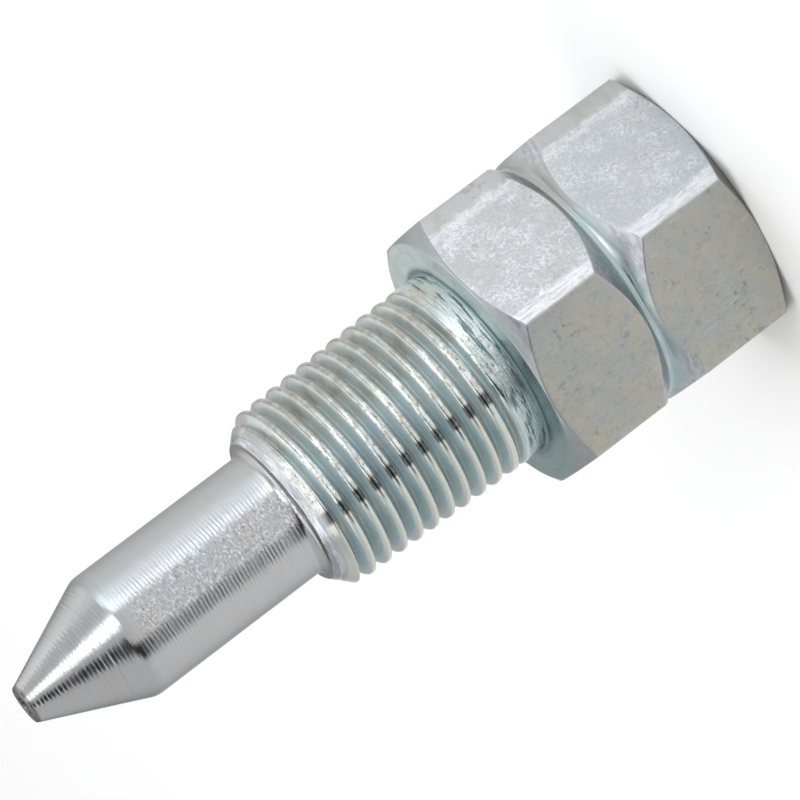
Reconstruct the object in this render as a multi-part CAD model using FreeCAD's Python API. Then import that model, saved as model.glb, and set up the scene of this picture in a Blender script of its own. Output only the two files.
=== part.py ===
# Needle nose grease adapter, one piece of steel turned from hexagon bar, in millimetres.
# It stands on its rear face: +Z runs along its axis to the nose, the origin is the centre of that face,
# and two corners of the hexagon lie on the Y axis.

import FreeCAD, Part
import os
from math import cos, pi, radians, sin, tan

# Hexagon
HEX_ACROSS_FLATS = 14.0
HEX_LENGTH = 13.25
HEX_FACE_DIAMETER = 13.85
HEX_CHAMFER_ANGLE = 33.0

# Turned groove around the hexagon
GROOVE_FROM_FRONT = 6.22
GROOVE_FLOOR_WIDTH = 0.27
GROOVE_FLOOR_DIAMETER = 13.5
GROOVE_FLANK_ANGLE = 45.0

# Tapered outside thread, 27 turns to the inch, with the plain collar that it runs out into
THREAD_PITCH = 25.4 / 27.0
THREAD_TAPER = 1.0 / 16.0
THREAD_FLANK_ANGLE = 30.0
THREAD_NOSE_CREST_DIAMETER = 9.75
THREAD_BLANK_DIAMETER = 10.3
THREAD_DEPTH = 0.62
THREAD_SECTION_LENGTH = 12.13
THREAD_CHAMFER_ANGLE = 45.0
THREAD_CHAMFER_START_DIAMETER = 7.9
THREAD_COLLAR_LENGTH = 1.05
THREAD_RUN_OUT_TURNS = 1.1
THREAD_START_ANGLE = -65.0
THREAD_POINTS_PER_TURN = 24

# Shank and nose
SHANK_LENGTH = 10.02
SHANK_DIAMETER = 6.78
NOSE_LENGTH = 5.3
NOSE_TIP_DIAMETER = 1.95
NOSE_SHOULDER_RADIUS = 1.2
NOSE_TIP_CHAMFER = 0.1

# Grease way: threaded socket, long passage and the orifice at the tip
SOCKET_DIAMETER = 8.5
SOCKET_DEPTH = 9.0
SOCKET_MOUTH_DIAMETER = 10.4
SOCKET_MOUTH_ANGLE = 45.0
DRILL_POINT_ANGLE = 118.0
PASSAGE_DIAMETER = 3.0
ORIFICE_DIAMETER = 1.0
ORIFICE_LENGTH = 3.3

# Allowance by which a cutting shape runs past what it cuts
CUT_PAST = 0.05

AXIS = FreeCAD.Vector(0, 0, 1)
HEX_CORNER_RADIUS = HEX_ACROSS_FLATS / 2 / cos(pi / 6)
THREAD_FRONT_Z = HEX_LENGTH + THREAD_SECTION_LENGTH
SHANK_END_Z = THREAD_FRONT_Z + SHANK_LENGTH
TIP_Z = SHANK_END_Z + NOSE_LENGTH


def at(radius, z):
    """A point of a profile, in the plane that holds the axis."""
    return FreeCAD.Vector(radius, 0, z)


def turned(edges):
    """The solid that a closed profile sweeps around the axis."""
    return Part.Face(Part.Wire(edges)).revolve(FreeCAD.Vector(), AXIS, 360)


def straight_edges(points):
    """Straight edges from point to point."""
    return [Part.LineSegment(a, b).toShape() for a, b in zip(points, points[1:])]


def closed_outline(points):
    """Straight edges through the points and back to the first."""
    return straight_edges(points + points[:1])


def rounded_corner(before, corner, after, radius):
    """The two tangent points and the arc that rounds a corner of a profile."""
    towards_before = (before - corner).normalize()
    towards_after = (after - corner).normalize()
    half = towards_before.getAngle(towards_after) / 2
    start = corner + towards_before * (radius / tan(half))
    end = corner + towards_after * (radius / tan(half))
    bisector = (towards_before + towards_after).normalize()
    middle = corner + bisector * (radius / sin(half) - radius)
    return start, Part.Arc(start, middle, end).toShape(), end


def hexagon():
    """Hexagon bar with chamfered ends and the groove turned around it."""
    corner = HEX_CORNER_RADIUS
    face = HEX_FACE_DIAMETER / 2
    chamfer_length = (corner - face) * tan(radians(HEX_CHAMFER_ANGLE))
    floor = GROOVE_FLOOR_DIAMETER / 2
    flank_length = (corner - floor) * tan(radians(GROOVE_FLANK_ANGLE))
    floor_front = HEX_LENGTH - GROOVE_FROM_FRONT
    floor_rear = floor_front - GROOVE_FLOOR_WIDTH
    outline = [
        at(0, 0),
        at(face, 0),
        at(corner, chamfer_length),
        at(corner, floor_rear - flank_length),
        at(floor, floor_rear),
        at(floor, floor_front),
        at(corner, floor_front + flank_length),
        at(corner, HEX_LENGTH - chamfer_length),
        at(face, HEX_LENGTH),
        at(0, HEX_LENGTH),
    ]
    corners = [
        FreeCAD.Vector(corner * sin(k * pi / 3), corner * cos(k * pi / 3), 0)
        for k in range(6)
    ]
    bar = Part.Face(Part.Wire(closed_outline(corners))).extrude(AXIS * HEX_LENGTH)
    return bar.common(turned(closed_outline(outline)))


def nose():
    """Thread blank, shank and cone in one turned piece, with a rounded shoulder and a broken tip edge."""
    blank = THREAD_BLANK_DIAMETER / 2
    crest = THREAD_NOSE_CREST_DIAMETER / 2
    chamfer = THREAD_CHAMFER_START_DIAMETER / 2
    taper_length = (THREAD_BLANK_DIAMETER - THREAD_NOSE_CREST_DIAMETER) / THREAD_TAPER
    slope = tan(radians(THREAD_CHAMFER_ANGLE))
    chamfer_length = (crest - chamfer) / (slope - THREAD_TAPER / 2)
    chamfered = at(crest + chamfer_length * THREAD_TAPER / 2, THREAD_FRONT_Z - chamfer_length)
    root = at(SHANK_DIAMETER / 2, THREAD_FRONT_Z)
    shoulder = at(SHANK_DIAMETER / 2, SHANK_END_Z)
    tip = at(NOSE_TIP_DIAMETER / 2, TIP_Z)
    shoulder_start, shoulder_arc, shoulder_end = rounded_corner(root, shoulder, tip, NOSE_SHOULDER_RADIUS)
    tip_start = tip + (shoulder - tip).normalize() * NOSE_TIP_CHAMFER
    tip_end = at(tip.x - NOSE_TIP_CHAMFER, TIP_Z)
    up_to_shoulder = [
        at(0, HEX_LENGTH),
        at(blank, HEX_LENGTH),
        at(blank, THREAD_FRONT_Z - taper_length),
        chamfered,
        at(chamfer, THREAD_FRONT_Z),
        root,
        shoulder_start,
    ]
    past_shoulder = [shoulder_end, tip_start, tip_end, at(0, TIP_Z), at(0, HEX_LENGTH)]
    return turned(straight_edges(up_to_shoulder) + [shoulder_arc] + straight_edges(past_shoulder))


def thread_groove():
    """The V groove of the outside thread: it starts in front of the blank and rises out at the collar."""
    slope = tan(radians(THREAD_FLANK_ANGLE))
    start_z = THREAD_FRONT_Z + THREAD_PITCH
    end_z = HEX_LENGTH + THREAD_COLLAR_LENGTH
    turns = (start_z - end_z) / THREAD_PITCH
    spans = round(turns)

    def section(turn):
        """Corners of the V after so many turns: its root, then both edges above the crests."""
        z = start_z - turn * THREAD_PITCH
        crest = THREAD_NOSE_CREST_DIAMETER / 2 + (THREAD_FRONT_Z - z) * THREAD_TAPER / 2
        risen = max(0.0, 1 - (turns - turn) / THREAD_RUN_OUT_TURNS) ** 2
        top = crest + CUT_PAST
        root = crest - THREAD_DEPTH + (THREAD_DEPTH + CUT_PAST / 2) * risen
        half_top = (top - root) * slope
        angle = radians(THREAD_START_ANGLE) - 2 * pi * turn
        return [
            FreeCAD.Vector(radius * cos(angle), radius * sin(angle), z + offset)
            for radius, offset in ((root, 0), (top, -half_top), (top, half_top))
        ]

    def span(index):
        """The three sides of the groove along one turn."""
        steps = range(THREAD_POINTS_PER_TURN + 1)
        sections = [section(turns * (index + k / THREAD_POINTS_PER_TURN) / spans) for k in steps]
        edges = []
        for line in zip(*sections):
            curve = Part.BSplineCurve()
            curve.interpolate(list(line))
            edges.append(curve.toShape())
        return [Part.makeRuledSurface(edges[k], edges[(k + 1) % 3]) for k in range(3)]

    sides = [side for index in range(spans) for side in span(index)]
    ends = [Part.Face(Part.Wire(closed_outline(section(turn)))) for turn in (0, turns)]
    shell = Part.makeShell(sides + ends)
    shell.sewShape()
    return Part.makeSolid(shell)


def grease_way():
    """Everything that is drilled: the socket with its mouth, the passage and the orifice."""
    socket = SOCKET_DIAMETER / 2
    mouth = SOCKET_MOUTH_DIAMETER / 2
    passage = PASSAGE_DIAMETER / 2
    orifice = ORIFICE_DIAMETER / 2
    drill_slope = 1 / tan(radians(DRILL_POINT_ANGLE / 2))
    orifice_z = TIP_Z - ORIFICE_LENGTH
    outline = [
        at(0, -CUT_PAST),
        at(mouth, -CUT_PAST),
        at(mouth, 0),
        at(socket, (mouth - socket) * tan(radians(SOCKET_MOUTH_ANGLE))),
        at(socket, SOCKET_DEPTH),
        at(passage, SOCKET_DEPTH + (socket - passage) * drill_slope),
        at(passage, orifice_z - (passage - orifice) * drill_slope),
        at(orifice, orifice_z),
        at(orifice, TIP_Z + CUT_PAST),
        at(0, TIP_Z + CUT_PAST),
    ]
    return turned(closed_outline(outline))


def adapter_body():
    """The finished adapter, one solid."""
    threaded_nose = nose().cut(thread_groove())
    outside = hexagon().fuse(threaded_nose).removeSplitter()
    return outside.cut(grease_way()).Solids[0]


os.makedirs("parts", exist_ok=True)
body = adapter_body()
body.exportStep("parts/adapter_body.step")
print("adapter_body", body.ShapeType, body.isValid(), round(body.Volume, 3), body.BoundBox)
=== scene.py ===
"""Looks of the needle nose adapter: zinc plated steel, turned from drawn hexagon bar.

The whole surface is one closed mesh around the axis. Its rings follow the turned profile, its
columns follow the rounded outline of the bar, and in the threads the rings climb with the helix.
A node tree then cuts the two threads into it.
"""

from math import ceil, cos, pi, radians, sin, tan

import bmesh
import bpy
import numpy as np
from mathutils import Matrix, Vector


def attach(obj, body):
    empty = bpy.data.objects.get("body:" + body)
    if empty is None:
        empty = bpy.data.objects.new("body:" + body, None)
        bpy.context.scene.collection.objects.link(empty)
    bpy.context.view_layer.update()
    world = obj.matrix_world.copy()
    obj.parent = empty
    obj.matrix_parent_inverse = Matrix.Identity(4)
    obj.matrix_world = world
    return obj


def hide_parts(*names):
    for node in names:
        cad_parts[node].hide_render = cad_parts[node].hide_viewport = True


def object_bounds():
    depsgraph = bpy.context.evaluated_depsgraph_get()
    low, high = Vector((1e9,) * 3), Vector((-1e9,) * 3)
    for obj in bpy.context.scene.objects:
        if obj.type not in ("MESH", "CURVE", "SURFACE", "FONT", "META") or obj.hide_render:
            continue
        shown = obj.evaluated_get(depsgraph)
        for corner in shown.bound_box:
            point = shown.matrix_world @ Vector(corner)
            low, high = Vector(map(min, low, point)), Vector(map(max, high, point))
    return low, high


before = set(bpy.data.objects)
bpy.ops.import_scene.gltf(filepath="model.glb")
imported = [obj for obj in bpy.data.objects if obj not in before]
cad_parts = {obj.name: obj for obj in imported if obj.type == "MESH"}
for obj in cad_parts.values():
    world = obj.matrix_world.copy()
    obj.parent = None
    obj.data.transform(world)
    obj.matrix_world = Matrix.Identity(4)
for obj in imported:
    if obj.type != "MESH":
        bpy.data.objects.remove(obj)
cad_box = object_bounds()

MM = 0.001
TURN = 2 * pi

# Hexagon bar, in metres from here on
HEX_ACROSS_FLATS = cad_box[1].x - cad_box[0].x
HEX_LENGTH = 13.25 * MM
HEX_CORNER_ROUNDING = 0.30 * MM
EDGE_ROUNDING = 0.11 * MM
HEX_FACE_RADIUS = 6.925 * MM
HEX_CHAMFER_ANGLE = radians(33)

# Groove turned around the hexagon
GROOVE_REAR_Z = 6.76 * MM
GROOVE_FRONT_Z = 7.03 * MM
GROOVE_RADIUS = 6.75 * MM
GROOVE_FLANK_ANGLE = radians(45)

# Outside thread with its collar and its chamfered start
THREAD_PITCH = 25.4 / 27 * MM
THREAD_TAPER = 1 / 32
THREAD_FLANK_SLOPE = 1 / tan(radians(28))
THREAD_FRONT_Z = 25.38 * MM
THREAD_CREST_RADIUS = 4.875 * MM
THREAD_BLANK_RADIUS = 5.15 * MM
THREAD_DEPTH = 0.60 * MM
THREAD_ROOT_FLAT = 0.02 * MM
THREAD_CREST_ROUNDING = 0.18 * MM
THREAD_START_ANGLE = radians(-65)
THREAD_CHAMFER_RADIUS = 3.95 * MM
THREAD_RUN_OUT_Z = HEX_LENGTH + 1.05 * MM
THREAD_RUN_OUT = 1.1 * THREAD_PITCH
THREAD_RUN_OUT_RISE = THREAD_DEPTH + 0.1 * MM
COLLAR_ROOT_ROUNDING = 0.12 * MM

# Shank and nose
SHANK_RADIUS = 3.39 * MM
SHANK_ROOT_ROUNDING = 0.42 * MM
SHANK_END_Z = 35.4 * MM
SHOULDER_ROUNDING = 1.2 * MM
TIP_Z = cad_box[1].z - cad_box[0].z
TIP_RADIUS = 0.975 * MM
TIP_ROUNDING = 0.12 * MM

# Grease way
ORIFICE_RADIUS = 0.5 * MM
ORIFICE_LENGTH = 3.3 * MM
ORIFICE_MOUTH_Z = TIP_Z - ORIFICE_LENGTH / 8
BORE_ROUNDING = 0.05 * MM
PASSAGE_RADIUS = 1.5 * MM
DRILL_SLOPE = 1 / tan(radians(59))
SOCKET_RADIUS = 4.25 * MM
SOCKET_DEPTH = 9.0 * MM
SOCKET_MOUTH_RADIUS = 5.2 * MM
SOCKET_THREAD_ROOT_RADIUS = 5.0 * MM
SOCKET_THREAD_ROOT_FLAT = 0.03 * MM
SOCKET_THREAD_CREST_ROUNDING = 0.04 * MM
SOCKET_THREAD_END_Z = 7.4 * MM

# The finishes, in the order of the material slots
BAR_FINISH, TURNED, NOSE, BORE = range(4)

# A face of the bar counts as turned if its normal rises this much, or if it lies this near the groove's floor
TURNED_SLOPE = 0.25
GROOVE_SKIN = 0.05 * MM

# The point attribute that tells how deep the thread is cut, as a share of its full depth
CUT_DEPTH = "cut_depth"

# Fineness of the mesh
FLAT_COLUMNS = 24
CORNER_COLUMNS = 4
FLAT_ROWS = 8
GROOVE_ROWS = 4
ARC_STEP = radians(12)
LONGEST_STEP = 0.8 * MM
THREAD_ROWS = 20
SOCKET_THREAD_ROWS = 10
SPARE_TURNS = 3
SAME_POINT = 0.0005 * MM
SHORTEST_EDGE = 0.0002 * MM
CUT_MARGIN = 0.001 * MM

# Base colours that drift: the plain tint, the one in soft patches and the one in small clouds
# Tints of the flats: a copy painted lighter for the side that faces the light, and a copy painted darker as
# shade, also duller, for the other side
LIT_BAR_TINTS = (0.49, 0.50, 0.525, 1), (0.455, 0.495, 0.525, 1), (0.525, 0.51, 0.50, 1)
SHADED_DULL_BAR_TINTS = (0.43, 0.43, 0.395, 1), (0.40, 0.415, 0.41, 1), (0.46, 0.445, 0.37, 1)
TURNED_TINTS = (0.40, 0.50, 0.51, 1), (0.46, 0.52, 0.53, 1), (0.48, 0.49, 0.47, 1)
NOSE_TINTS = (0.46, 0.47, 0.48, 1), (0.45, 0.48, 0.49, 1), (0.48, 0.46, 0.43, 1)
THREAD_TINTS = (0.56, 0.655, 0.675, 1), (0.61, 0.69, 0.70, 1), (0.63, 0.665, 0.645, 1)
BORE_TINTS = (0.42, 0.44, 0.44, 1), (0.50, 0.54, 0.54, 1), (0.40, 0.37, 0.31, 1)

# Single colours on the bar's flats
BAR_FRONT = (0.44, 0.445, 0.435, 1)
FROST_AND_SPARKLE = (0.71, 0.73, 0.75, 1)
# A painted highlight along the edges of the lit flats, partly wear from burnishing
BURNISHED_AND_HIGHLIGHT = (0.80, 0.82, 0.84, 1)
EDGE_STRIP = (0.445, 0.455, 0.45, 1)
EDGE_STRIP_STAIN = (0.41, 0.40, 0.36, 1)
DULL_GRAIN = (0.50, 0.50, 0.47, 1)
SCRATCH = (0.55, 0.55, 0.52, 1)
DARK_MOTTLE = (0.27, 0.265, 0.23, 1)
PALE_MOTTLE = (0.50, 0.495, 0.46, 1)
BAR_PITS = (0.20, 0.20, 0.17, 1)

# Single colours on the turned faces
# Painted shade on the lower side of the hexagon's turned faces
SHADED_LOWER_SIDE = (0.24, 0.35, 0.35, 1)
UPPER_SIDE = (0.40, 0.405, 0.39, 1)
# Painted light on the front face
PAINTED_LIGHT_FACE = (0.76, 0.86, 0.85, 1)
DARK_SMEAR = (0.36, 0.36, 0.40, 1)
PALE_SMEAR = (0.53, 0.53, 0.55, 1)
FRONT_CHAMFER = (0.31, 0.325, 0.33, 1)
FRONT_CORNER = (0.17, 0.16, 0.22, 1)
REAR_EDGE = (0.40, 0.40, 0.38, 1)
# Painted shade in the corner between the front face and the collar
FACE_ROOT_SHADE = (0.13, 0.22, 0.23, 1)
TURNED_LINES = (0.18, 0.25, 0.27, 1)
TURNED_PITS = (0.16, 0.18, 0.18, 1)

# Single colours on the shank and nose
# Painted sparkle on the shank's near side
SHANK_SPARKLE = (0.80, 0.79, 0.86, 1)
SHANK_SPECKS = (0.26, 0.26, 0.28, 1)
TIP_FACE = (0.13, 0.12, 0.11, 1)
NOSE_LINES = (0.30, 0.31, 0.33, 1)

# Single colours on the thread and collar
# A matter finish and painted shade on the upper side of the thread
MATT_SHADED_FLANK = (0.55, 0.58, 0.565, 1)
# Painted shade on the lower side of the thread
SHADED_LOWER_FLANK = (0.41, 0.49, 0.50, 1)
FLANK_STAIN = (0.45, 0.425, 0.36, 1)
STRAW = (0.60, 0.59, 0.49, 1)
SHADED_STRAW = (0.34, 0.325, 0.275, 1)
# Painted glints and sparkle on the crests
GLINT = (0.88, 0.92, 0.90, 1)
CREST_SPARKLE = (0.86, 0.88, 0.82, 1)
CREST_SPECKS = (0.16, 0.19, 0.20, 1)
# A painted dark reflection on the crests
PAINTED_DARK_REFLECTION = (0.07, 0.08, 0.08, 1)
CRACK = (0.10, 0.16, 0.17, 1)
COLLAR_FLAKE = (0.60, 0.60, 0.58, 1)
PLAIN_END = (0.46, 0.48, 0.50, 1)
DARK_TEAR = (0.22, 0.26, 0.31, 1)
PALE_TEAR = (0.75, 0.77, 0.82, 1)
# Painted shade in the thread's roots
THREAD_ROOT_SHADE = (0.18, 0.20, 0.20, 1)
THREAD_PITS = (0.20, 0.22, 0.22, 1)

# Soft borders of what is painted on the flats, in millimetres: where it starts and where it is full.
# X is positive on the side that lies uppermost in the photograph, and Y is negative towards its camera.
# Where the painted light on the flats turns into painted shade
LIT_SIDE_X = -0.15, 0.15
BAR_FRONT_Z = 4.5, 9.0
HIGHLIGHT_LINE_ACROSS = 2.3, 2.55, 2.85, 3.1
BURNISHED_AND_HIGHLIGHT_ACROSS = -2.95, -3.3
EDGE_STRIP_ACROSS = 2.8, 3.2
SCRATCH_SLANT = 1.1

# The same on the turned faces
HEXAGON_Z = 13.40, 13.30
FRONT_END_Z = 12.0, 12.6
SHADED_LOWER_SIDE_X = -1.0, -5.5
UPPER_SIDE_X = 1.6, 4.2
PAINTED_LIGHT_FACE_X = 0.0, 3.0
FACE_RADII = 7.0, 6.85
SMEARED_RADII = 7.0, 7.4
CHAMFER_RADII = 6.85, 7.0
CORNER_RADII = 7.2, 7.75
CORNER_X = 3.0, 1.5
REAR_EDGE_Z = 1.3, 0.9
ROOT_SHADE_RADII = 5.65, 5.3
TORN_COLLAR_Z = 13.2, 13.3

# The same on the shank and nose
NEAR_SIDE_Y = 0.0, -0.8
GLINT_SHANK_X = 1.4, 0.7
GLINT_SHANK_Z = 34.9, 34.2
CONE_Z = 35.2, 36.0
TIP_FACE_Z = 40.45, 40.6
ROUGH_NOSE_X = 1.3, 2.2

# The same on the thread and collar
MATT_AND_SHADED_X = 0.4, 2.6
SHADED_LOWER_FLANK_X = -1.9, -3.6
THREADED_Z = 14.4, 14.9, 24.7, 25.2
PLAIN_END_Z = 24.7, 25.2
COLLAR_Z = 14.7, 14.2
GLINT_CREST_X = -1.25, -0.85, 1.2, 2.7
GLINT_CREST_Z = 13.5, 13.8
# Where the painted dark reflection lies on the crests
DARK_REFLECTION_X = -1.6
DARK_REFLECTION_REACH = 0.45, 0.22

# Depth of the relief in each finish
BAR_RELIEF = 0.012 * MM
TURNED_RELIEF = 0.007 * MM
NOSE_RELIEF = 0.0036 * MM
THREAD_RELIEF = 0.008 * MM
BORE_RELIEF = 0.01 * MM

# The photograph's camera
CAMERA_PLACE = Vector((-1.291, -227.755, 73.134)) * MM
CAMERA_AIM = Vector((0.827, 0.0, 17.488)) * MM
CAMERA_ROLL = radians(-127.075)
CAMERA_LENS = 221.2

# The room: its level below, along and above the horizon
GROUND_LEVEL = 1.0
HORIZON_LEVEL = 0.80
CEILING_LEVEL = 0.60
GROUND_TOP = radians(-10)
HORIZON_FOOT = radians(3)
HORIZON_TOP = radians(30)
CEILING_FOOT = radians(55)

# Brighter and darker spots in it: bearing, height, inner and outer angle in degrees, colour
ROOM_SPOTS = [
    (68, 20, 25, 60, (0.62, 0.62, 0.62, 1)),
    (-30, 0, 12, 22, (1.9, 2.0, 2.15, 1)),
    (-48, -4, 4, 11, (3.0, 3.2, 3.5, 1)),
    (-134, 0, 13, 18, (0.0, 0.0, 0.0, 1)),
    (-128, 18, 9, 13, (0.0, 0.0, 0.0, 1)),
    (-118, 33, 12, 16, (0.0, 0.0, 0.01, 1)),
]
SPOT_FOOT = radians(-13)
SPOT_FULL = 0.6 * SPOT_FOOT

# Lamps: name, bearing and height in degrees, distance, width and height in metres, radiance
LAMPS = [
    ("overhead_box", 90, 88, 0.60, 0.80, 0.80, 0.8),
    ("back_box", 32, 40, 0.60, 0.70, 0.70, 0.55),
    ("streak_box", -69, 32, 0.45, 0.16, 0.30, 2.8),
]
LAMP_AIM = Vector((0.0, 0.0, 15.0)) * MM

FLOOR_EDGE = -0.05
FLOOR_REACH = 1.0
FLOOR_WHITE = (0.96, 0.96, 0.96, 1)


def bar_outline():
    """Angle and distance from the axis of each column, along the rounded hexagon."""
    flat = HEX_ACROSS_FLATS / 2
    half_flat = (flat - HEX_CORNER_ROUNDING) * tan(pi / 6)
    centre = (flat - HEX_CORNER_ROUNDING) / cos(pi / 6)
    across = np.linspace(-half_flat, half_flat, FLAT_COLUMNS, endpoint=False)
    turned = pi / 6 + np.linspace(-pi / 6, pi / 6, CORNER_COLUMNS, endpoint=False)
    corner_x = centre * cos(pi / 6) + HEX_CORNER_ROUNDING * np.cos(turned)
    corner_y = centre * sin(pi / 6) + HEX_CORNER_ROUNDING * np.sin(turned)
    x = np.concatenate([np.full(FLAT_COLUMNS, flat), corner_x])
    y = np.concatenate([across, corner_y])
    angles = np.concatenate([np.arctan2(y, x) + sixth * pi / 3 for sixth in range(6)])
    distances = np.tile(np.hypot(x, y), 6)
    return np.append(angles, angles[0] + TURN), np.append(distances, distances[0])


ANGLES, BAR = bar_outline()


def ring(radius, z):
    """One ring of points at a radius and a height, either of which may change around the axis."""
    radius = np.broadcast_to(radius, ANGLES.shape)
    z = np.broadcast_to(z, ANGLES.shape)
    return np.column_stack([radius * np.cos(ANGLES), radius * np.sin(ANGLES), z])


def rounded_line(corners):
    """Rings through corners (radius, z, rounding), with an arc at each rounded one."""
    points = [np.array(corners[0][:2])]
    for before, corner, after in zip(corners, corners[1:], corners[2:]):
        here = np.array(corner[:2])
        if corner[2] == 0:
            points.append(here)
            continue
        back = np.array(before[:2]) - here
        on = np.array(after[:2]) - here
        back /= np.linalg.norm(back)
        on /= np.linalg.norm(on)
        half = np.arccos(np.clip(back @ on, -1, 1)) / 2
        sweep = pi - 2 * half
        middle = here + (back + on) / np.linalg.norm(back + on) * corner[2] / sin(half)
        start = here + back * corner[2] / tan(half) - middle
        end = here + on * corner[2] / tan(half) - middle
        steps = max(2, ceil(sweep / ARC_STEP))
        for k in range(steps + 1):
            share = k / steps
            points.append(middle + (sin((1 - share) * sweep) * start + sin(share * sweep) * end) / sin(sweep))
    points.append(np.array(corners[-1][:2]))
    filled = [points[0]]
    for a, b in zip(points, points[1:]):
        steps = max(1, ceil(np.linalg.norm(b - a) / LONGEST_STEP))
        filled += [a + (b - a) * k / steps for k in range(1, steps + 1)]
    return [ring(radius, z) for radius, z in filled]


def meeting(a, b):
    """Radius and height, in each column, where two sides of the bar's section meet."""
    span = sin(b[0] - a[0])
    radius = (a[1] * sin(b[0]) - b[1] * sin(a[0])) / span
    height = (b[1] * cos(a[0]) - a[1] * cos(b[0])) / span
    return np.array([np.broadcast_to(radius, BAR.shape), np.broadcast_to(height, BAR.shape)])


def on_edge(corner, angle):
    """The ring on a rounded edge where the surface faces at an angle."""
    return ring(corner[0] + EDGE_ROUNDING * cos(angle), corner[1] + EDGE_ROUNDING * sin(angle))


def rounded_bar(sides):
    """Rings over a piece of bar whose section is bounded by sides (outward angle, offset), edges rounded."""
    inner = [(angle, offset - EDGE_ROUNDING) for angle, offset in sides]
    corners = [meeting(a, b) for a, b in zip(inner, inner[1:])]
    for k in range(1, len(inner) - 1):
        along = np.array([[-sin(inner[k][0])], [cos(inner[k][0])]])
        # Where a side has no length in a column, its two corners give way to the meeting of its neighbours
        passed = ((corners[k] - corners[k - 1]) * along).sum(0) < 0
        direct = meeting(inner[k - 1], inner[k + 1])
        corners[k - 1] = np.where(passed, direct, corners[k - 1])
        corners[k] = np.where(passed, direct, corners[k])
    rings = []
    for k, corner in enumerate(corners):
        start, end = inner[k][0], inner[k + 1][0]
        steps = max(2, ceil((end - start) / ARC_STEP))
        rings += [on_edge(corner, angle) for angle in np.linspace(start, end, steps + 1)]
        if k + 1 < len(corners):
            rings += between(rings[-1], on_edge(corners[k + 1], end))
    return rings


def between(last, first):
    """Rings across one side of the bar, closer together near its two edges."""
    shares = [(1 - cos(pi * k / FLAT_ROWS)) / 2 for k in range(1, FLAT_ROWS)]
    return [last + (first - last) * share for share in shares]


def side(angle, radius, z):
    """A side of the bar's section through a point: its outward angle and its offset."""
    return angle, radius * cos(angle) + z * sin(angle)


def hexagon_rings():
    """The rear hexagon, the groove and the front hexagon, from the rear face to the front face."""
    rear = rounded_bar([
        side(-pi / 2, 0, 0),
        side(HEX_CHAMFER_ANGLE - pi / 2, HEX_FACE_RADIUS, 0),
        (0.0, BAR),
        side(pi / 2 - GROOVE_FLANK_ANGLE, GROOVE_RADIUS, GROOVE_REAR_Z),
    ])
    front = rounded_bar([
        side(GROOVE_FLANK_ANGLE - pi / 2, GROOVE_RADIUS, GROOVE_FRONT_Z),
        (0.0, BAR),
        side(pi / 2 - HEX_CHAMFER_ANGLE, HEX_FACE_RADIUS, HEX_LENGTH),
        side(pi / 2, 0, HEX_LENGTH),
    ])
    groove = [rear[-1], ring(GROOVE_RADIUS, GROOVE_REAR_Z), ring(GROOVE_RADIUS, GROOVE_FRONT_Z), front[0]]
    filled = [a + (b - a) * k / GROOVE_ROWS for a, b in zip(groove, groove[1:]) for k in range(GROOVE_ROWS)]
    return rear[:-1] + filled + front


def blank_radius(z):
    """The outside of the collar and of the thread's blank."""
    crest = THREAD_CREST_RADIUS + (THREAD_FRONT_Z - z) * THREAD_TAPER
    chamfer = THREAD_CHAMFER_RADIUS + (THREAD_FRONT_Z - z)
    return np.minimum(np.minimum(crest, chamfer), THREAD_BLANK_RADIUS)


def socket_radius(z):
    """The inside of the socket's mouth and of its thread's blank."""
    return np.maximum(SOCKET_RADIUS, SOCKET_MOUTH_RADIUS - z)


def helical_rings(low, high, groove_z, rows, radius):
    """Rings that climb with the thread, closer together at crest and root, cut off level at both ends."""
    first = int((low - groove_z) / THREAD_PITCH) - SPARE_TURNS
    last = int((high - groove_z) / THREAD_PITCH) + SPARE_TURNS
    half = rows // 2
    steps = [(1 - cos(pi * k / half)) / 4 for k in range(half)]
    steps += [0.5 + step for step in steps]
    rings = []
    for turn in range(first, last):
        for step in steps:
            climb = groove_z + THREAD_PITCH * (turn + step + ANGLES / TURN)
            z = np.clip(climb, low, high)
            rings.append(ring(radius(z), z))
    return rings


def collar_rings():
    """The front face inside its edge, and the collar up to the thread."""
    return rounded_line([
        (HEX_FACE_RADIUS - EDGE_ROUNDING, HEX_LENGTH, 0),
        (THREAD_BLANK_RADIUS, HEX_LENGTH, COLLAR_ROOT_ROUNDING),
        (THREAD_BLANK_RADIUS, THREAD_RUN_OUT_Z - THREAD_PITCH, 0),
    ])


def nose_rings():
    """Shank, nose cone and tip."""
    return rounded_line([
        (THREAD_CHAMFER_RADIUS, THREAD_FRONT_Z, 0),
        (SHANK_RADIUS, THREAD_FRONT_Z, SHANK_ROOT_ROUNDING),
        (SHANK_RADIUS, SHANK_END_Z, SHOULDER_ROUNDING),
        (TIP_RADIUS, TIP_Z, TIP_ROUNDING),
        (ORIFICE_RADIUS, TIP_Z, BORE_ROUNDING),
        (ORIFICE_RADIUS, ORIFICE_MOUTH_Z, 0),
    ])


def bore_rings():
    """Orifice, passage and drill point, back to the socket."""
    orifice_end = TIP_Z - ORIFICE_LENGTH
    return rounded_line([
        (ORIFICE_RADIUS, ORIFICE_MOUTH_Z, 0),
        (ORIFICE_RADIUS, orifice_end, 0),
        (PASSAGE_RADIUS, orifice_end - (PASSAGE_RADIUS - ORIFICE_RADIUS) * DRILL_SLOPE, 0),
        (PASSAGE_RADIUS, SOCKET_DEPTH + (SOCKET_RADIUS - PASSAGE_RADIUS) * DRILL_SLOPE, BORE_ROUNDING),
        (SOCKET_RADIUS, SOCKET_DEPTH, 0),
    ])


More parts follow.
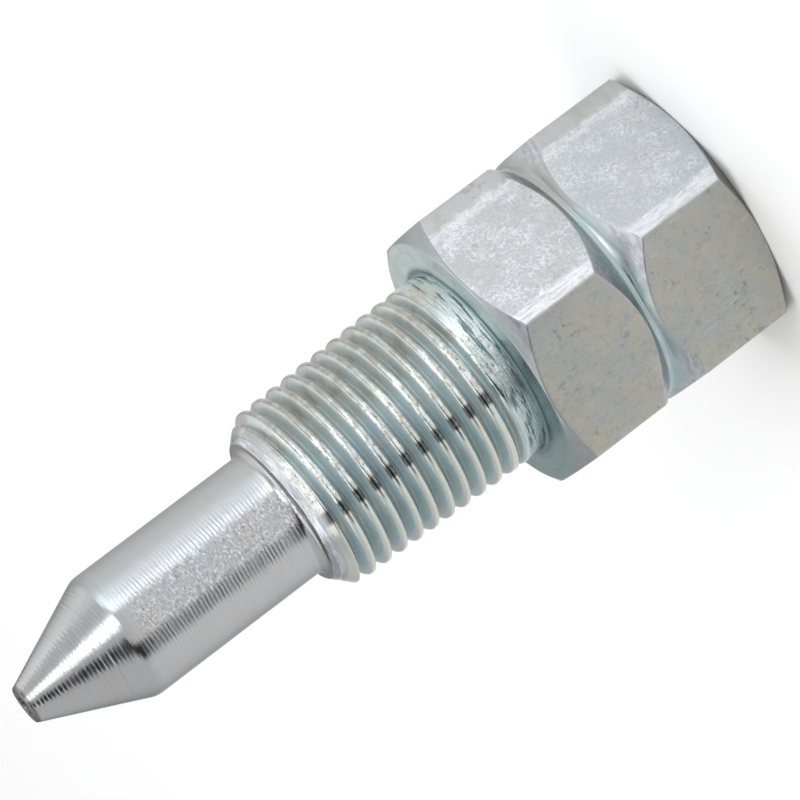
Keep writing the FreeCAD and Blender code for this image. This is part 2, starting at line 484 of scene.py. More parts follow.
def body_mesh():
    """The closed surface of the uncut body."""
    groove_z = THREAD_FRONT_Z + THREAD_PITCH * (1 - THREAD_START_ANGLE / TURN)
    low = THREAD_RUN_OUT_Z - THREAD_PITCH
    thread = helical_rings(low, THREAD_FRONT_Z, groove_z, THREAD_ROWS, blank_radius)
    socket = helical_rings(0.0, SOCKET_DEPTH, 0.0, SOCKET_THREAD_ROWS, socket_radius)[::-1]
    bands = [(BAR_FINISH, hexagon_rings()), (TURNED, collar_rings() + thread), (NOSE, nose_rings()),
             (BORE, bore_rings() + socket)]
    rings = [row for finish, band in bands for row in band]
    finishes = [finish for finish, band in bands for row in band]
    points = np.array(rings + rings[:1])
    rows, columns = points.shape[:2]
    index = np.arange(rows * columns).reshape(rows, columns)
    quads = np.stack([index[:-1, :-1], index[:-1, 1:], index[1:, 1:], index[1:, :-1]], axis=-1).reshape(-1, 4)
    mesh = bpy.data.meshes.new("body")
    mesh.from_pydata(points.reshape(-1, 3), [], quads)
    mesh.polygons.foreach_set("material_index", np.repeat(finishes, columns - 1))
    tidy = bmesh.new()
    tidy.from_mesh(mesh)
    bmesh.ops.remove_doubles(tidy, verts=tidy.verts, dist=SAME_POINT)
    bmesh.ops.dissolve_degenerate(tidy, edges=tidy.edges, dist=SHORTEST_EDGE)
    bmesh.ops.recalc_face_normals(tidy, faces=tidy.faces)
    for face in tidy.faces:
        in_groove = face.calc_center_median().xy.length < GROOVE_RADIUS + GROOVE_SKIN
        if face.material_index == BAR_FINISH and (abs(face.normal.z) > TURNED_SLOPE or in_groove):
            face.material_index = TURNED
    tidy.to_mesh(mesh)
    tidy.free()
    mesh.polygons.foreach_set("use_smooth", [True] * len(mesh.polygons))
    return mesh


class Tree:
    """A node tree under construction: nodes are added one by one, and math reads like a formula."""

    def __init__(self, tree):
        self.tree = tree

    def socket(self, name, kind, value=None, out=False):
        made = self.tree.interface.new_socket(name, in_out="OUTPUT" if out else "INPUT", socket_type=kind)
        if value is not None:
            made.default_value = value

    def node(self, kind, inputs=(), **settings):
        made = self.tree.nodes.new(kind)
        for name, value in settings.items():
            setattr(made, name, value)
        for key, value in dict(inputs).items():
            self.feed(made.inputs[key], value)
        return made

    def feed(self, socket, value):
        if isinstance(value, bpy.types.NodeSocket):
            self.tree.links.new(value, socket)
        else:
            socket.default_value = value

    def math(self, operation, *values, clamp=False):
        return self.node("ShaderNodeMath", enumerate(values), operation=operation, use_clamp=clamp).outputs[0]

    def plus(self, first, *others):
        for other in others:
            first = self.math("ADD", first, other)
        return first

    def minus(self, first, second, clamp=False):
        return self.math("SUBTRACT", first, second, clamp=clamp)

    def times(self, first, *others):
        for other in others:
            first = self.math("MULTIPLY", first, other)
        return first

    def over(self, first, second, clamp=False):
        return self.math("DIVIDE", first, second, clamp=clamp)

    def size(self, value):
        return self.math("ABSOLUTE", value)

    def axes(self, place):
        """The X, Y and Z of a place."""
        return self.node("ShaderNodeSeparateXYZ", {0: place}).outputs

    def vector(self, x, y, z):
        return self.node("ShaderNodeCombineXYZ", {0: x, 1: y, 2: z}).outputs[0]

    def from_axis(self, axes):
        """Distance from the turning axis."""
        squares = self.plus(self.math("POWER", axes["X"], 2.0), self.math("POWER", axes["Y"], 2.0))
        return self.math("SQRT", squares)

    def stretched(self, place, scale):
        """The place with each of its axes scaled by its own factor."""
        return self.node("ShaderNodeVectorMath", {0: place, 1: scale}, operation="MULTIPLY").outputs[0]

    def noise(self, place, scale, detail=2.0, roughness=0.5, distortion=0.0):
        return self.node("ShaderNodeTexNoise", {"Vector": place, "Scale": scale, "Detail": detail,
                                                "Roughness": roughness, "Distortion": distortion}).outputs[0]

    def ramp(self, value, start, end, low=0.0, high=1.0):
        """A smooth step from low, where the value is at start, to high, where it is at end."""
        inputs = {"Value": value, "From Min": start, "From Max": end, "To Min": low, "To Max": high}
        return self.node("ShaderNodeMapRange", inputs, interpolation_type="SMOOTHSTEP").outputs[0]

    def band(self, value, start, full, full_end, end):
        """A smooth rise from start to full, and a smooth fall from full_end to end."""
        return self.times(self.ramp(value, start, full), self.ramp(value, end, full_end))

    def blend(self, share, first, second):
        """The first colour turning into the second."""
        return self.node("ShaderNodeMix", {0: share, 6: first, 7: second}, data_type="RGBA").outputs[2]

    def group(self, tree, **inputs):
        """A group's outputs, with its inputs given by their names, spaces as underscores."""
        made = self.node("ShaderNodeGroup", node_tree=tree)
        for name, value in inputs.items():
            self.feed(made.inputs[name.replace("_", " ")], value)
        return made.outputs

    def compare(self, first, operation, second):
        return self.node("FunctionNodeCompare", {0: first, 1: second}, operation=operation).outputs[0]

    def both(self, first, second):
        return self.node("FunctionNodeBooleanMath", {0: first, 1: second}, operation="AND").outputs[0]


def thread_cutter():
    """Node tree that presses a V groove into a turned wall along a helix, outside or inside."""
    t = Tree(bpy.data.node_groups.new("thread_cutter", "GeometryNodeTree"))
    t.socket("Geometry", "NodeSocketGeometry", out=True)
    t.socket("Geometry", "NodeSocketGeometry")
    sizes = {"Pitch": THREAD_PITCH, "Start Angle": 0.0, "Start Z": 0.0, "Root Radius": 0.0,
             "Taper": THREAD_TAPER, "Flank Slope": THREAD_FLANK_SLOPE, "Root Flat": 0.0,
             "Run-out Z": 0.0, "Run-out Length": 1.0, "Run-out Rise": 0.0, "Crest Rounding": 0.0,
             "Lowest Z": 0.0, "Highest Z": 0.0, "Side": 1.0, "Full Depth": THREAD_DEPTH, "Nearest Wall": 0.0}
    for name, value in sizes.items():
        t.socket(name, "NodeSocketFloat", value)
    t.socket("Material", "NodeSocketMaterial")
    given = t.node("NodeGroupInput").outputs
    place = t.axes(t.node("GeometryNodeInputPosition").outputs[0])
    angle = t.math("ARCTAN2", place["Y"], place["X"])
    radius = t.from_axis(place)

    # How far each point is from the nearest turn of the helix, along the axis
    along = t.over(t.minus(place["Z"], given["Start Z"]), given["Pitch"])
    phase = t.minus(along, t.over(t.minus(angle, given["Start Angle"]), TURN))
    off = t.times(t.minus(phase, t.math("ROUND", phase)), given["Pitch"])
    centre_z = t.minus(place["Z"], off)

    # The groove's surface there, and the wall pressed down to it
    past_flat = t.math("MAXIMUM", t.minus(t.size(off), given["Root Flat"]), 0.0)
    flank = t.times(past_flat, given["Flank Slope"])
    left = t.over(t.minus(centre_z, given["Run-out Z"]), given["Run-out Length"])
    risen = t.math("POWER", t.minus(1.0, left, clamp=True), 2.0)
    root = t.plus(given["Root Radius"], t.times(t.minus(given["Start Z"], centre_z), given["Taper"]))
    sided_root = t.plus(t.times(root, given["Side"]), t.times(risen, given["Run-out Rise"]))
    wall = t.times(radius, given["Side"])
    cut = t.math("SMOOTH_MIN", wall, t.plus(sided_root, flank), given["Crest Rounding"])
    depth = t.minus(wall, cut)
    share = t.over(t.minus(radius, t.times(depth, given["Side"])), radius)
    moved = t.vector(t.times(place["X"], share), t.times(place["Y"], share), place["Z"])

    # Only the threaded wall is moved, and the depth is kept for its looks
    level = t.both(t.compare(place["Z"], "GREATER_THAN", given["Lowest Z"]),
                   t.compare(place["Z"], "LESS_THAN", given["Highest Z"]))
    zone = t.both(level, t.compare(wall, "GREATER_THAN", given["Nearest Wall"]))
    share_cut = t.times(t.over(depth, given["Full Depth"], clamp=True), zone)
    kept = t.node("GeometryNodeInputNamedAttribute", {"Name": CUT_DEPTH}, data_type="FLOAT").outputs[0]
    deepest = t.math("MAXIMUM", share_cut, kept)
    marked = t.node("GeometryNodeStoreNamedAttribute",
                    {"Geometry": given["Geometry"], "Name": CUT_DEPTH, "Value": deepest},
                    data_type="FLOAT", domain="POINT").outputs[0]
    carved = t.node("GeometryNodeSetPosition",
                    {"Geometry": marked, "Selection": zone, "Position": moved}).outputs[0]
    whole = t.node("GeometryNodeRealizeInstances", {0: carved}).outputs[0]
    dressed = t.node("GeometryNodeSetMaterial",
                     {"Geometry": whole, "Selection": zone, "Material": given["Material"]}).outputs[0]
    t.node("NodeGroupOutput", {0: dressed})
    return t.tree


def add_cutter(piece, tree, values):
    """A modifier that runs the tree on the piece with these named inputs."""
    cutter = piece.modifiers.new(tree.name, "NODES")
    cutter.node_group = tree
    for item in tree.interface.items_tree:
        if item.item_type == "SOCKET" and item.in_out == "INPUT" and item.name in values:
            cutter[item.identifier] = values[item.name]


def group(name, inputs, outputs):
    """An empty shader group with named inputs and outputs, and the outputs of its input node."""
    t = Tree(bpy.data.node_groups.new(name, "ShaderNodeTree"))
    for label, value in inputs.items():
        kind = {float: "NodeSocketFloat", tuple: "NodeSocketColor"}.get(type(value), "NodeSocketVector")
        t.socket(label, kind, value)
    for label, kind in outputs.items():
        t.socket(label, kind, out=True)
    return t, t.node("NodeGroupInput").outputs


def patchy_zinc():
    """Zinc that drifts between two tints in soft patches, with a third tint in smaller clouds."""
    t, given = group("patchy_zinc",
                     {"Place": None, "Plain": (0.6, 0.62, 0.64, 1.0), "Tint": (0.5, 0.6, 0.62, 1.0),
                      "Cloud": (0.6, 0.56, 0.5, 1.0), "Patch Size": 3.0, "Cloud Share": 0.4},
                     {"Colour": "NodeSocketColor"})
    per_patch = t.over(1.0, given["Patch Size"])
    patch = t.ramp(t.noise(given["Place"], per_patch, 1.0), 0.38, 0.62)
    cloud = t.noise(given["Place"], t.times(per_patch, 3.1), 1.0)
    cloud = t.times(t.ramp(cloud, 0.45, 0.70), given["Cloud Share"])
    colour = t.blend(cloud, t.blend(patch, given["Plain"], given["Tint"]), given["Cloud"])
    t.node("NodeGroupOutput", {"Colour": colour})
    return t.tree


def frosted_grain():
    """The fine crystalline grain of the zinc, a little drawn out along the bar."""
    t, given = group("frosted_grain", {"Place": None, "Grain Size": 0.2, "Stretch": 1.5},
                     {"Grain": "NodeSocketFloat", "Relief": "NodeSocketFloat"})
    around = t.over(1.0, given["Grain Size"])
    along = t.over(around, given["Stretch"])
    fine = t.noise(t.stretched(given["Place"], t.vector(around, around, along)), 1.0, 3.0, 0.65, 0.5)
    broad = t.noise(given["Place"], 0.8, 2.0)
    grain = t.ramp(t.plus(fine, t.times(broad, 0.35)), 0.56, 0.86)
    t.node("NodeGroupOutput", {"Grain": grain, "Relief": fine})
    return t.tree


def turning_rings():
    """Rings left by the lathe tool along a coordinate, uneven and worn in places."""
    t, given = group("turning_rings", {"Place": None, "Along": 0.0, "Spacing": 0.17},
                     {"Relief": "NodeSocketFloat", "Lines": "NodeSocketFloat"})
    turn = t.over(given["Along"], given["Spacing"])
    drift = t.times(t.noise(given["Place"], 0.6, 2.0), 1.2)
    feed = t.math("SINE", t.times(t.plus(turn, drift), TURN))
    uneven = t.node("ShaderNodeTexNoise", {"W": t.times(turn, 0.7), "Scale": 1.0, "Detail": 3.0,
                                           "Roughness": 0.7}, noise_dimensions="1D").outputs[0]
    worn = t.ramp(t.noise(given["Place"], 0.9, 3.0, 0.6), 0.3, 0.6, 0.45, 1.0)
    relief = t.times(t.plus(t.times(feed, 0.3), t.times(uneven, 1.6)), worn)
    lines = t.times(t.ramp(uneven, 0.56, 0.74), worn)
    t.node("NodeGroupOutput", {"Relief": relief, "Lines": lines})
    return t.tree


def pits():
    """Small dark pits and stains, thinly spread."""
    t, given = group("pits", {"Place": None, "Size": 0.4, "Share": 0.5}, {"Pits": "NodeSocketFloat"})
    scale = t.over(1.0, given["Size"])
    spots = t.noise(given["Place"], scale, 4.0, 0.65, 0.3)
    where = t.noise(given["Place"], t.times(scale, 0.22), 2.0)
    limit = t.minus(0.74, t.times(given["Share"], t.ramp(where, 0.4, 0.65, 0.0, 0.16)))
    t.node("NodeGroupOutput", {"Pits": t.ramp(t.minus(spots, limit), 0.0, 0.08)})
    return t.tree


PATCHY_ZINC, FROSTED_GRAIN, TURNING_RINGS, PITS = patchy_zinc(), frosted_grain(), turning_rings(), pits()


class Finish(Tree):
    """A metal material under construction, with its shader and its place in millimetres."""

    def __init__(self, name, roughness, edge_tint=0.85):
        self.material = bpy.data.materials.new(name)
        self.material.use_nodes = True
        super().__init__(self.material.node_tree)
        self.inputs = self.tree.nodes["Principled BSDF"].inputs
        self.inputs["Metallic"].default_value = 1.0
        self.inputs["Roughness"].default_value = roughness
        self.inputs["Specular Tint"].default_value = (edge_tint, edge_tint, edge_tint, 1)
        metres = {0: self.node("ShaderNodeTexCoord").outputs["Object"], "Scale": 1 / MM}
        self.place = self.node("ShaderNodeVectorMath", metres, operation="SCALE").outputs[0]

    def patches(self, tints, patch_size, cloud_share):
        """The drifting base colour of three tints."""
        plain, tint, cloud = tints
        return self.group(PATCHY_ZINC, Place=self.place, Plain=plain, Tint=tint, Cloud=cloud,
                          Patch_Size=patch_size, Cloud_Share=cloud_share)["Colour"]

    def done(self, colour, relief, depth, roughness=None):
        """The material, with its colour, its roughness and a relief whose depth is in metres."""
        self.feed(self.inputs["Base Color"], colour)
        if roughness is not None:
            self.feed(self.inputs["Roughness"], roughness)
        normal = self.node("ShaderNodeBump", {"Height": relief, "Distance": depth}).outputs[0]
        self.feed(self.inputs["Normal"], normal)
        return self.material


def zinc_on_bar():
    """The drawn flats: frosted and painted lighter on the side that faces the light, with painted highlights
    along the edges that are partly wear from burnishing; painted darker as shade elsewhere, where the plating
    is also duller, mottled and scratched.
    """
    t = Finish("zinc_on_drawn_bar", 0.42)
    place, at = t.place, t.axes(t.place)
    flat = t.over(t.math("ARCTAN2", at["Y"], at["X"]), pi / 3)
    off = t.times(t.minus(flat, t.math("ROUND", flat)), pi / 3)
    across = t.times(t.from_axis(at), t.math("SINE", off))
    wander = t.noise(t.stretched(place, (1.5, 1.5, 1.8)), 1.0, 4.0, 0.75)
    edge = t.plus(across, t.times(t.minus(wander, 0.5), 1.1))
    grain = t.group(FROSTED_GRAIN, Place=place, Grain_Size=0.135, Stretch=1.25)

    # The flats on the side that faces the light: painted light, lighter tints than on the other side
    lit_flats = t.patches(LIT_BAR_TINTS, 2.6, 0.6)
    lit_flats = t.blend(t.ramp(at["Z"], *BAR_FRONT_Z, 0.0, 0.7), lit_flats, BAR_FRONT)
    cluster = t.ramp(t.noise(t.stretched(place, (1.0, 1.0, 0.7)), 1.1, 2.0), 0.36, 0.62, 0.3, 0.85)
    # Clusters of frosted grain, their specks painted light as sparkle on this side
    lit_flats = t.blend(t.times(grain["Grain"], cluster), lit_flats, FROST_AND_SPARKLE)
    # Painted highlights along both edges of the lit flats, partly wear from burnishing, broken by streaks
    highlight_line = t.times(t.band(edge, *HIGHLIGHT_LINE_ACROSS), 0.5)
    burnished_and_highlight = t.math("MAXIMUM", t.ramp(edge, *BURNISHED_AND_HIGHLIGHT_ACROSS), highlight_line)
    streak = t.noise(t.stretched(place, (6.0, 6.0, 0.9)), 1.0, 4.0, 0.75)
    lit_flats = t.blend(t.times(burnished_and_highlight, t.ramp(streak, 0.35, 0.6, 0.1, 0.85)), lit_flats, BURNISHED_AND_HIGHLIGHT)
    stain = t.ramp(t.noise(place, 0.7, 3.0, 0.6), 0.48, 0.62)
    strip = t.blend(stain, EDGE_STRIP, EDGE_STRIP_STAIN)
    lit_flats = t.blend(t.ramp(edge, *EDGE_STRIP_ACROSS, 0.0, 0.85), lit_flats, strip)

    # The flats on the other side: painted shade, darker tints, on a duller, mottled and scratched plating
    shaded_dull_flats = t.patches(SHADED_DULL_BAR_TINTS, 3.0, 0.8)
    shaded_dull_flats = t.blend(t.times(grain["Grain"], 0.28), shaded_dull_flats, DULL_GRAIN)
    slant = t.plus(at["Z"], t.times(across, SCRATCH_SLANT))
    lay = t.vector(t.times(across, 1.3), at["X"], t.times(slant, 0.12))
    scratch = t.ramp(t.size(t.minus(t.noise(lay, 1.0, 1.0), 0.5)), 0.010, 0.002)
    scratch = t.times(scratch, t.ramp(t.noise(place, 0.9, 2.0), 0.5, 0.62, 0.0, 0.55))
    shaded_dull_flats = t.blend(scratch, shaded_dull_flats, SCRATCH)
    mottle = t.noise(t.stretched(place, (1.0, 1.0, 0.8)), 2.4, 6.0, 0.85)
    shaded_dull_flats = t.blend(t.ramp(mottle, 0.5, 0.36, 0.0, 0.4), shaded_dull_flats, DARK_MOTTLE)
    shaded_dull_flats = t.blend(t.ramp(mottle, 0.54, 0.68, 0.0, 0.45), shaded_dull_flats, PALE_MOTTLE)

    # Painted light and shade: the lighter copy on one side of X, the darker copy on the other
    lit_side = t.ramp(at["X"], *LIT_SIDE_X)
    colour = t.blend(lit_side, shaded_dull_flats, lit_flats)
    spots = t.group(PITS, Place=place, Size=0.36, Share=1.1)["Pits"]
    colour = t.blend(t.times(spots, t.ramp(lit_side, 0.0, 1.0, 0.42, 0.2)), colour, BAR_PITS)
    return t.done(colour, t.minus(grain["Relief"], spots), BAR_RELIEF)


def zinc_on_turned_faces():
    """Chamfers, groove, front face and collar: turned, with a blue-green tint, smeared at the corners,
    painted shade on the lower side and in the root corner, painted light on the front face.
    """
    t = Finish("zinc_on_turned_faces", 0.36)
    place, at = t.place, t.axes(t.place)
    radius = t.from_axis(at)
    hexagon_part = t.ramp(at["Z"], *HEXAGON_Z)
    front = t.ramp(at["Z"], *FRONT_END_Z)

    colour = t.patches(TURNED_TINTS, 2.2, 0.4)
    # Painted shade: darker teal on the lower side of the hexagon's turned faces
    lower = t.times(t.ramp(at["X"], *SHADED_LOWER_SIDE_X, 0.0, 0.75), hexagon_part)
    colour = t.blend(t.times(lower, t.ramp(front, 0.0, 1.0, 0.2, 1.0)), colour, SHADED_LOWER_SIDE)
    upper = t.times(t.ramp(at["X"], *UPPER_SIDE_X, 0.0, 0.85), t.ramp(front, 1.0, 0.0))
    colour = t.blend(upper, colour, UPPER_SIDE)
    # Painted light: the front face paler towards the upper side, with its ring lines fainter there
    painted_light_face = t.times(t.ramp(at["X"], *PAINTED_LIGHT_FACE_X, 0.0, 0.9), front, t.ramp(radius, *FACE_RADII))
    colour = t.blend(painted_light_face, colour, PAINTED_LIGHT_FACE)
    smeared = t.ramp(t.noise(t.stretched(place, (1.2, 1.2, 4.0)), 1.3, 4.0, 0.7), 0.38, 0.6)
    smear = t.blend(smeared, DARK_SMEAR, PALE_SMEAR)
    colour = t.blend(t.ramp(radius, *SMEARED_RADII, 0.0, 0.85), colour, smear)
    chamfer = t.times(t.ramp(radius, *CHAMFER_RADII, 0.0, 0.8), front)
    colour = t.blend(chamfer, colour, FRONT_CHAMFER)
    corner = t.times(t.ramp(radius, *CORNER_RADII), front, t.ramp(t.size(at["X"]), *CORNER_X),
                     t.ramp(smeared, 0.0, 1.0, 0.7, 0.3))
    colour = t.blend(corner, colour, FRONT_CORNER)
    colour = t.blend(t.ramp(at["Z"], *REAR_EDGE_Z, 0.0, 0.85), colour, REAR_EDGE)
    # Painted shade in the corner where the front face meets the collar
    root = t.times(t.ramp(radius, *ROOT_SHADE_RADII, 0.0, 0.85), hexagon_part)
    colour = t.blend(root, colour, FACE_ROOT_SHADE)

    rings = t.group(TURNING_RINGS, Place=place, Along=t.plus(radius, at["Z"]), Spacing=0.19)
    lines = t.times(rings["Lines"], t.ramp(painted_light_face, 0.0, 0.9, 0.45, 0.1))
    colour = t.blend(lines, colour, TURNED_LINES)
    spots = t.group(PITS, Place=place, Size=0.3, Share=0.4)["Pits"]
    colour = t.blend(t.times(spots, 0.4), colour, TURNED_PITS)
    roughness = t.ramp(t.noise(place, 1.1, 2.0), 0.3, 0.7, 0.26, 0.42)
    torn = t.noise(t.stretched(place, (0.9, 0.9, 5.0)), 1.0, 4.0, 0.7, 0.4)
    torn = t.times(torn, t.ramp(at["Z"], *TORN_COLLAR_Z, 0.0, 5.0))
    return t.done(colour, t.plus(t.minus(rings["Relief"], spots), torn), TURNED_RELIEF, roughness)


def zinc_on_nose():
    """Shank, cone and tip: turned in fine rings that catch the light, with painted highlights and dark specks
    on the shank's near side.
    """
    t = Finish("zinc_on_nose", 0.3, 0.5)
    place, at = t.place, t.axes(t.place)
    colour = t.patches(NOSE_TINTS, 3.0, 0.5)
    rings = t.group(TURNING_RINGS, Place=place, Along=at["Z"], Spacing=0.2)
    # Painted sparkle: light and dark specks on the shank's near side
    painted_glint_zone = t.times(t.ramp(t.size(at["X"]), *GLINT_SHANK_X), t.ramp(at["Y"], *NEAR_SIDE_Y),
                     t.ramp(at["Z"], *GLINT_SHANK_Z),
                     t.ramp(t.noise(place, 1.7, 3.0, 0.6), 0.3, 0.55, 0.3, 1.0))
    grain = t.noise(t.stretched(place, (5.0, 5.0, 8.0)), 1.0, 4.0, 0.75)
    colour = t.blend(t.times(painted_glint_zone, t.ramp(grain, 0.50, 0.64)), colour, SHANK_SPARKLE)
    colour = t.blend(t.times(painted_glint_zone, t.ramp(grain, 0.46, 0.34)), colour, SHANK_SPECKS)
    colour = t.blend(t.ramp(at["Z"], *TIP_FACE_Z, 0.0, 0.75), colour, TIP_FACE)
    colour = t.blend(t.times(rings["Lines"], 0.2), colour, NOSE_LINES)
    roughness = t.plus(t.ramp(t.noise(place, 1.4, 2.0), 0.3, 0.7, 0.18, 0.24),
                       t.ramp(at["X"], *ROUGH_NOSE_X, 0.0, 0.14))
    relief = t.plus(t.times(rings["Relief"], t.ramp(at["Z"], *CONE_Z, 1.0, 2.6)), t.times(grain, 0.8))
    return t.done(colour, relief, NOSE_RELIEF, roughness)


def zinc_on_thread():
    """Thread and collar: smooth blue-green flanks, painted shade on the upper and lower sides and in the
    roots, straw coloured crests with painted glints and a row of painted dark reflections, a torn collar.
    """
    t = Finish("zinc_on_thread", 0.3)
    place, at = t.place, t.axes(t.place)
    depth = t.node("ShaderNodeAttribute", attribute_name=CUT_DEPTH).outputs["Fac"]
    matt_and_shaded = t.ramp(at["X"], *MATT_AND_SHADED_X)
    worn = t.noise(place, 1.6, 3.0, 0.6)
    near_side = t.ramp(at["Y"], *NEAR_SIDE_Y)
    threaded = t.band(at["Z"], *THREADED_Z)
    grain = t.noise(t.stretched(place, (4.0, 4.0, 6.0)), 1.0, 4.0, 0.75)

    colour = t.patches(THREAD_TINTS, 2.6, 0.5)
    # The upper side: a matter finish, with painted shade that darkens its flanks and crests
    colour = t.blend(t.times(matt_and_shaded, 0.7), colour, MATT_SHADED_FLANK)
    # Painted shade: darker flanks on the lower side of the thread
    colour = t.blend(t.ramp(at["X"], *SHADED_LOWER_FLANK_X, 0.0, 0.55), colour, SHADED_LOWER_FLANK)
    stain = t.ramp(t.noise(t.stretched(place, (0.9, 0.9, 1.3)), 1.0, 3.0, 0.6), 0.48, 0.62, 0.0, 0.55)
    colour = t.blend(t.times(stain, matt_and_shaded), colour, FLANK_STAIN)

    crest = t.times(t.ramp(depth, 0.14, 0.03), threaded)
    straw = t.times(crest, t.ramp(worn, 0.35, 0.6, 0.3, 0.9))
    # Straw on the crests, painted darker as shade on the upper side
    colour = t.blend(straw, colour, t.blend(matt_and_shaded, STRAW, SHADED_STRAW))
    # Painted glints: white patches, sparkle and dark specks on the crests' near side, with extra relief there
    painted_glint_zone = t.times(t.band(at["X"], *GLINT_CREST_X), near_side, t.ramp(at["Z"], *GLINT_CREST_Z),
                     t.ramp(depth, 0.36, 0.06))
    glints = t.ramp(t.noise(t.stretched(place, (1.1, 1.1, 1.6)), 1.0, 2.0), 0.47, 0.6)
    colour = t.blend(t.times(painted_glint_zone, t.times(glints, 0.8)), colour, GLINT)
    colour = t.blend(t.times(painted_glint_zone, t.ramp(grain, 0.53, 0.65)), colour, CREST_SPARKLE)
    colour = t.blend(t.times(painted_glint_zone, t.ramp(grain, 0.46, 0.36, 0.0, 0.9)), colour, CREST_SPECKS)
    # A painted dark reflection: a row of dark dashes along the crests on the near side
    painted_dark_reflection = t.times(t.ramp(t.size(t.minus(at["X"], DARK_REFLECTION_X)), *DARK_REFLECTION_REACH), near_side, threaded,
                   t.ramp(depth, 0.34, 0.12), t.ramp(grain, 0.70, 0.5, 0.4, 0.93))
    colour = t.blend(painted_dark_reflection, colour, PAINTED_DARK_REFLECTION)

    collar = t.ramp(at["Z"], *COLLAR_Z)
    torn = t.noise(t.stretched(place, (0.45, 0.45, 5.0)), 1.0, 4.0, 0.65, 0.6)
    colour = t.blend(t.times(collar, t.ramp(torn, 0.49, 0.41, 0.0, 0.9)), colour, CRACK)
    colour = t.blend(t.times(collar, t.ramp(torn, 0.54, 0.64, 0.0, 0.6)), colour, COLLAR_FLAKE)
    plain_end = t.times(t.ramp(depth, 0.2, 0.02), t.ramp(at["Z"], *PLAIN_END_Z))
    colour = t.blend(t.times(plain_end, 0.9), colour, PLAIN_END)
    colour = t.blend(t.times(plain_end, t.ramp(torn, 0.5, 0.42, 0.0, 0.7)), colour, DARK_TEAR)
    colour = t.blend(t.times(plain_end, t.ramp(torn, 0.56, 0.64, 0.0, 0.8)), colour, PALE_TEAR)
    # Painted shade deep in the thread's roots
    colour = t.blend(t.ramp(depth, 0.88, 1.0, 0.0, 0.3), colour, THREAD_ROOT_SHADE)
    spots = t.group(PITS, Place=place, Size=0.25, Share=0.2)["Pits"]
    colour = t.blend(t.times(spots, 0.45), colour, THREAD_PITS)

    roughness = t.plus(t.ramp(worn, 0.3, 0.7, 0.13, 0.22), t.times(t.ramp(depth, 0.05, 0.3), 0.16),
                       t.times(matt_and_shaded, 0.12))
    rings = t.group(TURNING_RINGS, Place=place, Along=at["Z"], Spacing=0.16)
    relief = t.minus(t.noise(t.stretched(place, (1.0, 1.0, 2.0)), 2.5, 2.0), spots)
    relief = t.plus(relief, t.times(painted_glint_zone, grain), t.times(t.plus(torn, grain), t.times(collar, 3.0)),
                    t.times(plain_end, rings["Relief"], 0.6))
    return t.done(colour, relief, THREAD_RELIEF, roughness)


def zinc_in_bore():
    """The bores, where the plating is thin and dull."""
    t = Finish("zinc_in_bore", 0.42)
    return t.done(t.patches(BORE_TINTS, 2.0, 0.5), t.noise(t.place, 3.0, 3.0), BORE_RELIEF)


def link(thing):
    """Puts an object into the scene."""
    bpy.context.scene.collection.objects.link(thing)


def adapter():
    """The adapter's visible body, with its finishes on and both threads cut."""
    made = bpy.data.objects.new("needle_nose_adapter", body_mesh())
    link(made)
    for material in (zinc_on_bar(), zinc_on_turned_faces(), zinc_on_nose(), zinc_in_bore()):
        made.data.materials.append(material)
    tree = thread_cutter()
    add_cutter(made, tree, {
        "Start Angle": THREAD_START_ANGLE, "Start Z": THREAD_FRONT_Z + THREAD_PITCH,
        "Root Radius": THREAD_CREST_RADIUS - THREAD_DEPTH - THREAD_PITCH * THREAD_TAPER,
        "Root Flat": THREAD_ROOT_FLAT, "Crest Rounding": THREAD_CREST_ROUNDING,
        "Run-out Z": THREAD_RUN_OUT_Z, "Run-out Length": THREAD_RUN_OUT, "Run-out Rise": THREAD_RUN_OUT_RISE,
        "Lowest Z": THREAD_RUN_OUT_Z - THREAD_PITCH, "Highest Z": THREAD_FRONT_Z - CUT_MARGIN,
        "Nearest Wall": SHANK_RADIUS, "Material": zinc_on_thread()})
    add_cutter(made, tree, {
        "Root Radius": SOCKET_THREAD_ROOT_RADIUS, "Root Flat": SOCKET_THREAD_ROOT_FLAT,
        "Crest Rounding": SOCKET_THREAD_CREST_ROUNDING,
        "Run-out Z": -THREAD_PITCH, "Run-out Length": 0.1 * THREAD_PITCH,
        "Lowest Z": CUT_MARGIN, "Highest Z": SOCKET_THREAD_END_Z, "Side": -1.0,
        "Nearest Wall": -SOCKET_MOUTH_RADIUS - EDGE_ROUNDING, "Material": made.data.materials[BORE]})
    finished = bpy.data.meshes.new_from_object(made.evaluated_get(bpy.context.evaluated_depsgraph_get()))
    made.modifiers.clear()
    made.data = finished
    return made


def white_floor():
    """A white sheet under the adapter that ends a little in front of it."""
    near, far = FLOOR_EDGE, FLOOR_REACH
    mesh = bpy.data.meshes.new("floor")
    mesh.from_pydata([(-far, near, 0), (far, near, 0), (far, far, 0), (-far, far, 0)], [], [(0, 1, 2, 3)])
    white = bpy.data.materials.new("floor_white")
    white.use_nodes = True
    white.node_tree.nodes["Principled BSDF"].inputs["Base Color"].default_value = FLOOR_WHITE
    white.node_tree.nodes["Principled BSDF"].inputs["Roughness"].default_value = 0.9
    mesh.materials.append(white)
    sheet = bpy.data.objects.new("floor", mesh)
    link(sheet)
    return sheet


def heading(bearing, height):
    """The direction at a bearing around the adapter and a height above the floor, both in degrees."""
    bearing, height = radians(bearing), radians(height)
    return Vector((cos(bearing) * cos(height), sin(bearing) * cos(height), sin(height)))


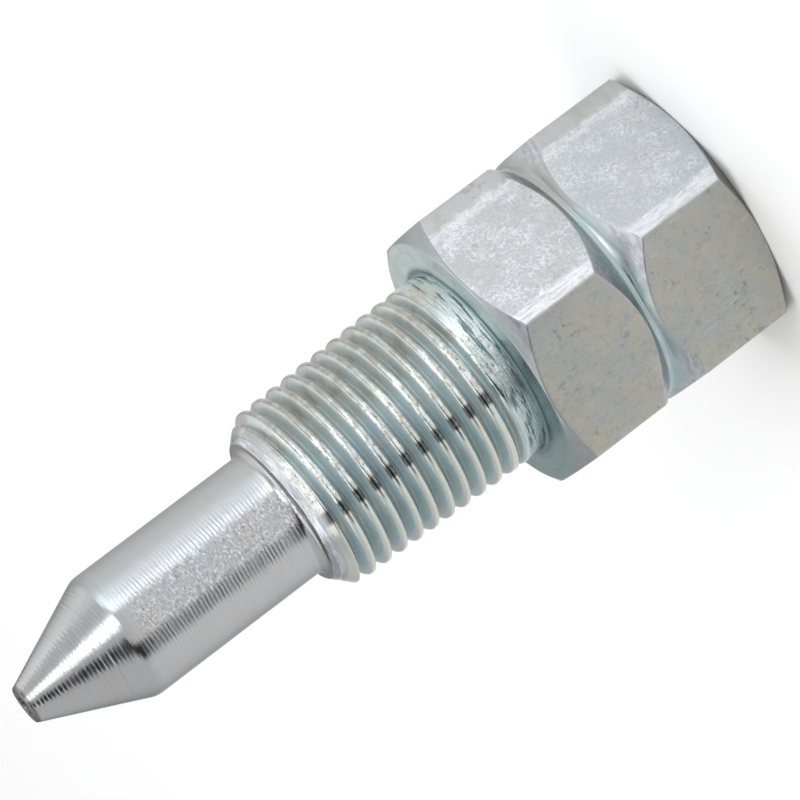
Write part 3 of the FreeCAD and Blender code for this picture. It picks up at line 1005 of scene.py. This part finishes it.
def softbox(name, bearing, height, distance, width, tall, radiance):
    """A rectangular lamp that faces the adapter from a direction and a distance."""
    lamp = bpy.data.lights.new(name, "AREA")
    lamp.shape = "RECTANGLE"
    lamp.size = width
    lamp.size_y = tall
    lamp.energy = radiance * pi * width * tall
    box = bpy.data.objects.new(name, lamp)
    box.location = LAMP_AIM + distance * heading(bearing, height)
    box.rotation_mode = "QUATERNION"
    box.rotation_quaternion = (LAMP_AIM - box.location).to_track_quat("-Z", "Y")
    link(box)


def studio_world():
    """A light room with a few soft spots that are brighter or darker."""
    world = bpy.data.worlds.new("studio")
    bpy.context.scene.world = world
    world.use_nodes = True
    t = Tree(world.node_tree)
    way = t.node("ShaderNodeTexCoord").outputs["Generated"]
    up = t.axes(way)["Z"]
    above_ground = t.ramp(up, sin(GROUND_TOP), sin(HORIZON_FOOT))
    level = t.ramp(up, sin(HORIZON_TOP), sin(CEILING_FOOT), HORIZON_LEVEL, CEILING_LEVEL)
    level = t.node("ShaderNodeMix", {0: above_ground, 2: GROUND_LEVEL, 3: level}).outputs[0]
    above_foot = t.ramp(up, sin(SPOT_FOOT), sin(SPOT_FULL))
    for bearing, height, inner, outer, colour in ROOM_SPOTS:
        both_ways = {0: way, 1: heading(bearing, height)}
        facing = t.node("ShaderNodeVectorMath", both_ways, operation="DOT_PRODUCT").outputs["Value"]
        spot = t.ramp(facing, cos(radians(outer)), cos(radians(inner)))
        level = t.blend(t.times(spot, above_foot), level, colour)
    t.feed(world.node_tree.nodes["Background"].inputs["Color"], level)


def photo_camera():
    """The camera that sees the adapter as the photograph does."""
    lens = bpy.data.cameras.new("camera")
    lens.lens = CAMERA_LENS
    lens.sensor_width = 36
    lens.clip_start = 0.01
    lens.clip_end = 10
    camera = bpy.data.objects.new("camera", lens)
    camera.location = CAMERA_PLACE
    camera.rotation_mode = "QUATERNION"
    facing = (CAMERA_AIM - CAMERA_PLACE).to_track_quat("-Z", "Y")
    camera.rotation_quaternion = facing @ Matrix.Rotation(CAMERA_ROLL, 4, "Z").to_quaternion()
    link(camera)
    return camera


body = adapter()
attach(body, "root")
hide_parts("adapter_body")

floor = white_floor()

studio_world()
for lamp in LAMPS:
    softbox(*lamp)
bpy.context.scene.camera = photo_camera()
bpy.context.scene.view_settings.view_transform = "Standard"
